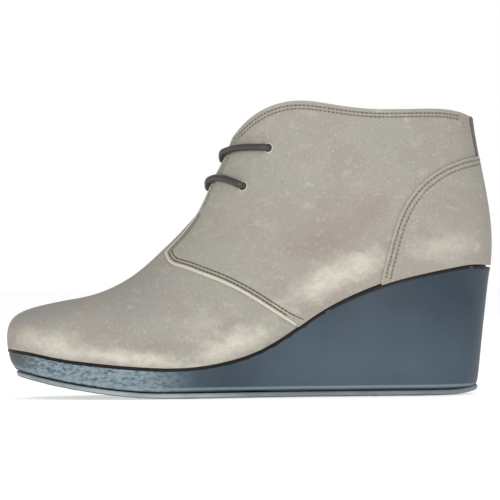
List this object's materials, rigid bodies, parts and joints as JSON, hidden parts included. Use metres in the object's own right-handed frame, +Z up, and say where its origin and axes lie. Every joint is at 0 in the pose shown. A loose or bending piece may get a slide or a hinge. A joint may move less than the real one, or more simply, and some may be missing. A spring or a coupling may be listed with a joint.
{
  "type": "ankle boot",
  "caption": "Suede lace-up ankle boot with flaps lapping over the vamp, on a moulded wedge sole",
  "frame": {"origin": "centre of the bounding box in plan, on the plane that the sole stands on", "axes": "+X from the toe to the heel, +Y to the inner (medial) side, +Z up"},
  "size_m": [0.2454, 0.084, 0.1476],
  "materials": {
    "suede": "soft matt nap, taupe beige, unlined cut edges paler",
    "lining": "smooth matt lining leather",
    "wedge": "matt slate blue moulding, paler and stippled round the forefoot",
    "outsole": "matt grey-teal tread rubber",
    "lace": "waxed round cord, charcoal brown"
  },
  "bodies": {
    "root": {"upper": "suede", "quarter_lateral": "suede", "quarter_medial": "suede", "heel_counter": "suede", "back_stay": "suede", "tongue": "suede", "insole": "lining", "wedge": "wedge", "outsole": "outsole", "lace": "lace"}
  },
  "joints": []
}
